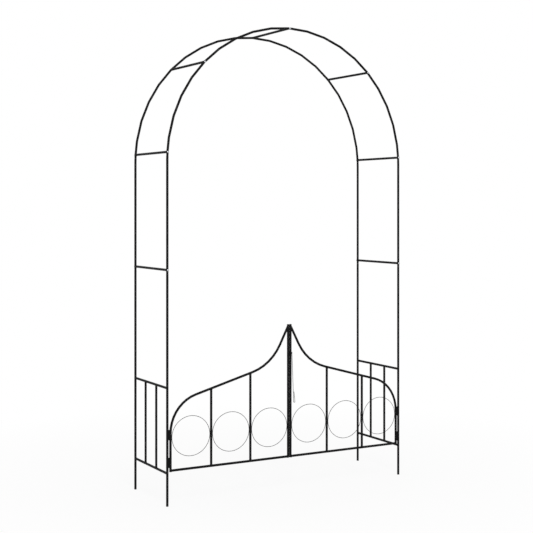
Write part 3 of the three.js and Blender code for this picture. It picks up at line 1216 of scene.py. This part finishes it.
    def ring(self, node: str) -> None:
        """Builds a wire ring, welded to the tubes on both sides of it.

        Args:
            node: The node that it stands for.
        """
        low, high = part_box(node)
        centre = (low + high) / 2
        across, up = (high.x - low.x) / 2 - WIRE_RADIUS, (high.z - low.z) / 2 - WIRE_RADIUS
        mesh = bmesh.new()
        run = Bender(mesh, centre + UP * up, ACROSS, WIRE_RADIUS, WIRE_SIDES)
        spun(mesh, [*run.verts, *run.edges], centre, ALONG, math.tau, self.ring_steps, closed=True)
        for vert in mesh.verts:
            out = vert.co - centre
            vert.co.x += (across - up) * out.x / math.hypot(out.x, out.z)
        run.settle()
        for sign in (-1, 1):
            contact = centre + ACROSS * sign * (across + WIRE_RADIUS * self.spot_share)
            spot_weld(mesh, contact, Vector(self.spot))
        self.shop.publish(mesh, node, self.side.leaf)

    def build(self) -> None:
        """Builds the leaf, apart from its meeting stile, which also carries half of the latch."""
        self.frame()
        hinge_foot = Vector((self.hinge_x, self.row, self.rail_height))
        meeting_foot = Vector((self.meeting_x, self.row, self.rail_height))
        self.welded_tube(self.node("gate_bottom_rail"), Seat(hinge_foot, UP), Seat(meeting_foot, UP))
        for node in self.bar_nodes:
            x = middle(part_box(node)).x
            top, direction = self.top_at(x)
            low = Seat(Vector((x, self.row, self.rail_height)), ACROSS)
            high = Seat(Vector((x, self.row, top)), direction)
            self.welded_tube(node, low, high)
        for node in self.ring_nodes:
            self.ring(node)


@dataclass
class ButtHinge:
    """A rolled steel butt hinge on the fronts of a leg and a hinge stile.

    Args:
        shop: Makes the pieces.
        side: The side of the gate that it carries.
        place: Its height.
        thickness: The thickness of its sheet.
        knuckle_radius: The outside of a knuckle.
        knuckle_count: The knuckles of both leaves together.
        corner: The rounding of the leaves' outer corners.
        corner_steps: The facets of that rounding.
        curl: How far round the pin a knuckle is rolled.
        curl_steps: The facets of that roll.
        rivet_shares: The rounded ends of the pin, as shares of its radius and of the rivets' height.
        weld_radius: The radius of the weld beads along the leaves' outer edges.
        weld_rise: How far in front of the leaves' backs the beads run.
        weld_shares: Where each bead starts and ends along a leaf.
    """

    shop: Workshop
    side: Side
    place: Place
    thickness: float = 0.0012
    knuckle_radius: float = 0.0025
    knuckle_count: int = 5
    corner: float = 0.0018
    corner_steps: int = 5
    curl: float = math.radians(322)
    curl_steps: int = 30
    rivet_shares: tuple[tuple[float, float], ...] = ((0.8, 0.0), (1.3, 0.3), (1.6, 1.0))
    weld_radius: float = 0.0009
    weld_rise: float = 0.0002
    weld_shares: tuple[tuple[float, float], ...] = ((0.08, 0.4), (0.6, 0.92))

    def __post_init__(self) -> None:
        """Takes the hinge's place from the frame."""
        self.leg_node = f"{self.side.word}_{self.place.value}_hinge_leg_leaf"
        self.gate_node = f"{self.side.word}_{self.place.value}_hinge_gate_leaf"
        low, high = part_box(self.gate_node)
        self.low, self.high = low.z, high.z
        self.pitch = (self.high - self.low) / self.knuckle_count
        self.back = high.y
        leg_low, leg_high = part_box(self.leg_node)
        right = self.side is Side.RIGHT
        self.leg_edge = leg_high.x if right else leg_low.x
        self.gate_edge = low.x if right else high.x
        inner = leg_low.x if right else leg_high.x
        axis_x = inner + self.side.value * self.knuckle_radius
        self.axis = Vector((axis_x, self.back - self.knuckle_radius, self.low))

    def clear_of_knuckles(self, depth: float) -> float:
        """How far from the pin a cut-out stays clear of turning knuckles, at a depth behind its axis."""
        return math.sqrt((self.knuckle_radius + SEAT_GAP) ** 2 - depth**2)

    def edge_line(self, mesh: BMesh, edge: float) -> list[BMEdge]:
        """Draws the outer edge of a leaf, split where the slits between the knuckles come.

        Args:
            mesh: The mesh to draw in.
            edge: The place of the edge.

        Returns:
            The new edges.
        """
        heights = [self.low]
        for index in range(1, self.knuckle_count):
            slit = self.low + index * self.pitch
            heights += [slit - SEAT_GAP / 2, slit + SEAT_GAP / 2]
        heights.append(self.high)
        tips = bmesh.ops.create_vert(mesh, co=Vector((edge, self.back, heights[0])))["vert"]
        for below, above in zip(heights, heights[1:]):
            tips = bmesh.ops.extrude_vert_indiv(mesh, verts=tips)["verts"]
            bmesh.ops.translate(mesh, vec=UP * (above - below), verts=tips)
        return list(mesh.edges)

    def sheet(self, mesh: BMesh, edge: float, own: range) -> None:
        """Draws a leaf: a flat plate whose own knuckles are rolled round the pin.

        Args:
            mesh: The mesh to draw in.
            edge: The place of the plate's outer edge.
            own: The knuckles that belong to this leaf, counted from below.
        """
        out = math.copysign(1.0, edge - self.axis.x)
        clear = self.clear_of_knuckles(self.knuckle_radius - self.thickness)
        line = self.edge_line(mesh, edge)
        corners = [vert for vert in mesh.verts if len(vert.link_edges) == 1]
        line = self.draw_on(mesh, line, (clear - abs(edge - self.axis.x)) * out)
        rolled = [part for part in line if self.knuckle_of(part) in own]
        rolled = self.draw_on(mesh, rolled, -clear * out)
        verts = list(dict.fromkeys(vert for part in rolled for vert in part.verts))
        spun(mesh, [*verts, *rolled], self.axis, UP, out * self.curl, self.curl_steps)
        bmesh.ops.bevel(
            mesh,
            geom=corners,
            offset=self.corner,
            segments=self.corner_steps,
            profile=0.5,
            affect="VERTICES",
            material=-1,
        )
        bmesh.ops.recalc_face_normals(mesh, faces=list(mesh.faces))
        plate = min(mesh.faces, key=lambda face: abs(face.calc_center_median().x - edge))
        if plate.normal.y < 0:
            bmesh.ops.reverse_faces(mesh, faces=list(mesh.faces))
        bmesh.ops.solidify(mesh, geom=list(mesh.faces), thickness=self.thickness)
        self.slant(mesh, self.axis.x + out * clear, out)
        bmesh.ops.recalc_face_normals(mesh, faces=list(mesh.faces))

    def slant(self, mesh: BMesh, edge: float, out: float) -> None:
        """Slants the edges of a leaf's cut-outs after the knuckles that turn in them.

        Args:
            mesh: The leaf's mesh.
            edge: The place of those edges.
            out: The sign of X from the pin to the leaf's outer edge.
        """
        tight = self.clear_of_knuckles(self.knuckle_radius)
        for vert in mesh.verts:
            if abs(vert.co.y - self.back) < HAIR and abs(vert.co.x - edge) < HAIR:
                vert.co.x = self.axis.x + out * tight

    def knuckle_of(self, edge: BMEdge) -> int:
        """Finds the knuckle that an upright edge belongs to.

        Args:
            edge: The edge.

        Returns:
            The knuckle, counted from below, or -1 in the slit between two.
        """
        if edge.calc_length() < 2 * SEAT_GAP:
            return -1
        height = sum(vert.co.z for vert in edge.verts) / len(edge.verts)
        return int((height - self.low) / self.pitch)

    @staticmethod
    def draw_on(mesh: BMesh, edges: list[BMEdge], across: float) -> list[BMEdge]:
        """Draws edges sideways into faces.

        Args:
            mesh: The mesh to draw in.
            edges: The edges to draw.
            across: How far, along X.

        Returns:
            The new edges.
        """
        verts = verts_of(bmesh.ops.extrude_edge_only(mesh, edges=edges)["geom"])
        bmesh.ops.translate(mesh, vec=ACROSS * across, verts=verts)
        return edges_between(verts)

    def pin(self, mesh: BMesh) -> None:
        """Draws the pin, riveted over at both ends.

        Args:
            mesh: The mesh to draw in.
        """
        low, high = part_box(self.leg_node)
        span = high.z - low.z
        rivet = self.low - low.z
        radius = self.knuckle_radius - self.thickness
        lower = [(radius * wide, rivet * tall) for wide, tall in self.rivet_shares]
        upper = [(wide, span - tall) for wide, tall in reversed(lower)]
        profile = [*lower, (radius, rivet), (radius, span - rivet), *upper]
        turned(mesh, self.axis - UP * rivet, UP, profile, WIRE_SIDES)

    def welds(self, mesh: BMesh, edge: float) -> None:
        """Draws the two short welds along a leaf's outer edge.

        Args:
            mesh: The mesh to draw in.
            edge: The place of the edge.
        """
        span = self.high - self.low
        foot = Vector((edge, self.back - self.weld_rise, self.low))
        for start, end in self.weld_shares:
            weld_run(mesh, foot + UP * span * start, foot + UP * span * end, self.weld_radius)

    def build(self) -> None:
        """Builds both leaves."""
        evens = range(0, self.knuckle_count, 2)
        odds = range(1, self.knuckle_count, 2)
        for node, edge, own, body in (
            (self.leg_node, self.leg_edge, evens, "frame"),
            (self.gate_node, self.gate_edge, odds, self.side.leaf),
        ):
            mesh = bmesh.new()
            self.sheet(mesh, edge, own)
            if node == self.leg_node:
                self.pin(mesh)
            self.welds(mesh, edge)
            self.shop.publish(mesh, node, body)


@dataclass
class Latch:
    """The throw-over latch: a wire arm on a pin, and a wire hook that keeps it.

    Args:
        shop: Makes the pieces.
        pivot: The arm's turning point.
        lean: How far the arm hangs off plumb.
        eye_turn: How far the eye goes round the pin.
        pin_radius: The pin's neck.
        head_radius: The pin's collar and head.
        head_height: The thickness of its head.
        collar_height: The thickness of its collar.
        shank_length: The straight of the arm.
        grip_bend: The bend of the finger grip.
        grip_return: The length that is folded back.
        grip_gap: The gap between the wire's end and the shank.
        keeper_bend: The bend of the hook.
        keeper_tip: The upturned tip of the hook.
        bevel: The small bevel on the pin's collar and head.
        root_weld: The weld at the pin's root, as growth round its neck and height over the collar's back.
        head_shares: The rounded front of its head, as narrowing and distance from the front, in bevels.
        start_shares: The rounded start of the arm, as steps of length and radius, in wire radii.
        tip_shares: The same of the rounded end of a wire.
    """

    shop: Workshop
    pivot: Vector
    lean: float = math.radians(2.2)
    eye_turn: float = math.radians(318)
    pin_radius: float = 0.0025
    head_radius: float = 0.0046
    head_height: float = 0.002
    collar_height: float = 0.001
    shank_length: float = 0.251
    grip_bend: float = 0.004
    grip_return: float = 0.051
    grip_gap: float = 0.0018
    keeper_bend: float = 0.0035
    keeper_tip: float = 0.004
    bevel: float = 0.0004
    root_weld: tuple[tuple[float, float], ...] = ((0.0016, -0.0012), (0.0014, -0.0004))
    head_shares: tuple[tuple[float, float], ...] = ((0.0, 2.0), (1.0, 0.6), (3.0, 0.0))
    start_shares: tuple[tuple[float, float], ...] = ((0.0, 0.6), (0.1, 0.9), (0.1, 1.0))
    tip_shares: tuple[tuple[float, float], ...] = ((0.3, 0.9), (0.2, 0.6))

    def __post_init__(self) -> None:
        """Works out the eye from the pin, and the grip's fold from its gap."""
        self.eye_bend = self.pin_radius + SEAT_GAP + WIRE_RADIUS
        closing = 2 * self.grip_bend - 2 * WIRE_RADIUS - self.grip_gap
        self.grip_turn = math.pi + math.asin(closing / self.grip_return)

    def finish_wire(self, run: Bender, length: float) -> None:
        """Draws the last straight of a wire, with its end rounded over and closed.

        Args:
            run: The wire.
            length: The length of the straight, with its rounded end.
        """
        run.push(length - WIRE_RADIUS * sum(step for step, _ in self.tip_shares))
        for step, radius in self.tip_shares:
            run.push(WIRE_RADIUS * step, WIRE_RADIUS * radius)
        run.close()
        run.settle()

    def arm(self) -> None:
        """Builds the wire arm: eye, shank and folded finger grip."""
        mesh = bmesh.new()
        about = -ALONG
        out = Matrix.Rotation(self.lean + self.eye_turn, 3, about) @ ACROSS
        heading = Matrix.Rotation(-math.pi / 2, 3, about) @ out
        (_, start), *rest = self.start_shares
        run = Bender(mesh, self.pivot + out * self.eye_bend, heading, WIRE_RADIUS * start, WIRE_SIDES)
        run.close()
        for step, radius in rest:
            run.push(WIRE_RADIUS * step, WIRE_RADIUS * radius)
        run.bend(self.eye_bend, -self.eye_turn, about, WIRE_BEND_STEP)
        run.push(self.shank_length)
        run.bend(self.grip_bend, self.grip_turn, about, WIRE_BEND_STEP)
        self.finish_wire(run, self.grip_return)
        self.shop.publish(mesh, "latch_arm", "latch")

    def pin(self, leaf: GateLeaf) -> None:
        """Builds the right meeting stile with the shouldered pin that carries the arm.

        Args:
            leaf: The right leaf.
        """
        mesh = leaf.meeting_stile()
        face = Vector((self.pivot.x, leaf.row - TUBE_RADIUS - SEAT_GAP, self.pivot.z))
        neck = self.collar_height + 2 * WIRE_RADIUS + 2 * SEAT_GAP
        top = neck + self.head_height
        bevel = self.bevel
        profile = [
            *((self.pin_radius + growth, height) for growth, height in self.root_weld),
            (self.head_radius - bevel, 0.0),
            (self.head_radius, bevel / 2),
            (self.head_radius, self.collar_height - bevel / 2),
            (self.head_radius - bevel, self.collar_height),
            (self.pin_radius, self.collar_height),
            (self.pin_radius, neck),
            (self.head_radius - bevel, neck),
            (self.head_radius, neck + bevel),
            *((self.head_radius - bevel * inward, top - bevel * back) for inward, back in self.head_shares),
        ]
        turned(mesh, face, -ALONG, profile)
        self.shop.publish(mesh, leaf.node("gate_meeting_stile"), leaf.side.leaf)

    def keeper(self, leaf: GateLeaf) -> None:
        """Builds the left meeting stile with the hook that keeps the arm.

        Args:
            leaf: The left leaf.
        """
        mesh = leaf.meeting_stile()
        height = self.pivot.z - self.eye_bend - 2 * WIRE_RADIUS - SEAT_GAP
        foot = Vector((leaf.meeting_x, leaf.row, height))
        tip = self.pivot.y - 2 * WIRE_RADIUS - SEAT_GAP
        clear = leaf.row - tip - self.keeper_bend
        run = Bender.leaving(mesh, Seat(foot, UP), -ALONG, WELDED_WIRE, clear, WIRE_RADIUS, WIRE_SIDES)
        run.bend(self.keeper_bend, -math.pi / 2, ACROSS, WIRE_BEND_STEP)
        self.finish_wire(run, self.keeper_tip)
        self.shop.publish(mesh, leaf.node("gate_meeting_stile"), leaf.side.leaf)


@dataclass(frozen=True)
class Lamp:
    """A soft square lamp.

    Args:
        name: Its name.
        at: Its place.
        size: Its side.
        power: Its power in watts.
    """

    name: str
    at: tuple[float, float, float]
    size: float
    power: float

    def hang(self, aim: Vector) -> None:
        """Hangs the lamp.

        Args:
            aim: The point that it faces.
        """
        data = bpy.data.lights.new(self.name, "AREA")
        data.size = self.size
        data.energy = self.power
        lamp = placed(self.name, data)
        lamp.location = self.at
        lamp.rotation_euler = (aim - Vector(self.at)).to_track_quat("-Z", "Y").to_euler()


@dataclass
class Studio:
    """The camera, the lamps and the pale floor.

    Args:
        camera_at: The camera's place.
        camera_yaw: How far it is turned from looking square at the gate.
        focal: Its focal length in pixels of the photograph.
        principal: The pixel that it looks straight at.
        picture: The photograph's width and height in pixels.
        sensor: The camera's sensor width in millimetres.
        lamps: The lamps.
        aim: The point that they face.
        diffuse: How brightly the white surroundings light the object.
        floor_size: The floor's side.
        floor_grey: How pale it is.
        floor_roughness: How matt it is.
        floor_fade: Where its shadow starts to fade and where it ends, from the middle of the arch.
        floor_white: How much of it is plain white under the arch.
    """

    camera_at: tuple[float, float, float] = (-3.024, -5.301, 1.450)
    camera_yaw: float = math.radians(29.31)
    focal: float = 1159.9
    principal: tuple[float, float] = (262.42, 206.04)
    picture: float = 533.0
    sensor: float = 36.0
    lamps: tuple[Lamp, ...] = (
        Lamp("key_lamp", at=(-1.9, -5.0, 5.2), size=2.5, power=180.0),
        Lamp("fill_lamp", at=(5.0, -4.0, 3.5), size=4.0, power=50.0),
    )
    aim: tuple[float, float, float] = (0.0, 0.0, 1.2)
    diffuse: float = 0.62
    floor_size: float = 60.0
    floor_grey: float = 0.9
    floor_roughness: float = 0.9
    floor_fade: tuple[float, float] = (0.5, 2.4)
    floor_white: float = 0.85

    def camera(self) -> None:
        """Sets up the camera of the photograph."""
        data = bpy.data.cameras.new("camera")
        data.sensor_width = self.sensor
        data.lens = self.focal * self.sensor / self.picture
        data.shift_x = (self.picture / 2 - self.principal[0]) / self.picture
        data.shift_y = (self.principal[1] - self.picture / 2) / self.picture
        camera = placed("camera", data)
        camera.location = self.camera_at
        camera.rotation_euler = (math.pi / 2, 0.0, -self.camera_yaw)
        bpy.context.scene.camera = camera

    @staticmethod
    def seen_rays(tree: NodeTree) -> NodeSocket:
        """Finds the rays that show a background: those of the camera, of gloss and of glass.

        Args:
            tree: The node tree to work in.

        Returns:
            A socket that is 1 for those rays and 0 for the others.
        """
        path = added(tree, "LightPath", {})
        seen = path.outputs["Is Camera Ray"]
        for ray in ("Is Glossy Ray", "Is Transmission Ray"):
            either = added(tree, "Math", {0: seen, 1: path.outputs[ray]}, operation="MAXIMUM")
            seen = either.outputs[0]
        return seen

    def world(self) -> None:
        """Lights the world softly and shows it as plain white."""
        world = bpy.data.worlds.new("studio")
        world.use_nodes = True
        bpy.context.scene.world = world
        tree = world.node_tree
        inputs = {"Value": self.seen_rays(tree), "To Min": self.diffuse, "To Max": 1.0}
        strength = added(tree, "MapRange", inputs)
        inputs = {"Color": (1.0, 1.0, 1.0, 1.0), "Strength": strength.outputs["Result"]}
        feed(tree, tree.nodes["Background"], inputs)

    def floor_finish(self) -> Material:
        """Mixes a pale matt finish that takes a soft shadow near the object and fades to white.

        Returns:
            The new material.
        """
        made, tree, shader = fresh_material("pale_floor")
        grey = self.floor_grey
        inputs = {
            "Base Color": (grey, grey, grey, 1.0),
            "Roughness": self.floor_roughness,
            "Specular IOR Level": 0.0,
        }
        feed(tree, shader, inputs)
        white = added(tree, "Emission", {"Strength": 1.0})
        place = added(tree, "TexCoord", {})
        length = added(tree, "VectorMath", {0: place.outputs["Object"]}, operation="LENGTH")
        near, far = self.floor_fade
        inputs = {
            "Value": length.outputs["Value"],
            "From Min": near,
            "From Max": far,
            "To Min": self.floor_white,
            "To Max": 1.0,
        }
        fade = added(tree, "MapRange", inputs)
        inputs = {0: self.seen_rays(tree), 1: fade.outputs["Result"]}
        seen = added(tree, "Math", inputs, operation="MULTIPLY")
        mix = added(tree, "MixShader", {0: seen.outputs[0], 1: shader.outputs[0], 2: white.outputs[0]})
        feed(tree, tree.nodes["Material Output"], {"Surface": mix.outputs[0]})
        return made

    def floor(self) -> None:
        """Lays the floor."""
        mesh = bmesh.new()
        bmesh.ops.create_grid(mesh, x_segments=1, y_segments=1, size=self.floor_size / 2)
        data = bpy.data.meshes.new("floor")
        mesh.to_mesh(data)
        mesh.free()
        data.materials.append(self.floor_finish())
        floor = placed("floor", data)

    def build(self) -> None:
        """Sets the stage."""
        self.camera()
        self.world()
        self.floor()
        for lamp in self.lamps:
            lamp.hang(Vector(self.aim))
        bpy.context.scene.view_settings.view_transform = "Standard"


def main() -> None:
    """Builds the stage and every piece."""
    logging.basicConfig(level=logging.INFO, format="%(name)s: %(message)s")
    for item in list(bpy.data.objects):
        bpy.data.objects.remove(item)
    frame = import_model()
    Studio().build()

    shop = Workshop()
    arches = Arches(shop)
    arches.build()
    for side in Side:
        SidePanel(shop, arches, side).build()
        for place in Place:
            ButtHinge(shop, side, place).build()

    leaves = {side: GateLeaf(shop, side) for side in Side}
    for leaf in leaves.values():
        leaf.build()
    swing = next(joint for joint in frame["joints"] if joint["name"] == "latch_swing")
    latch = Latch(shop, Vector(swing["pos_m"]))
    latch.arm()
    latch.pin(leaves[Side.RIGHT])
    latch.keeper(leaves[Side.LEFT])


if __name__ == "__main__":
    main()
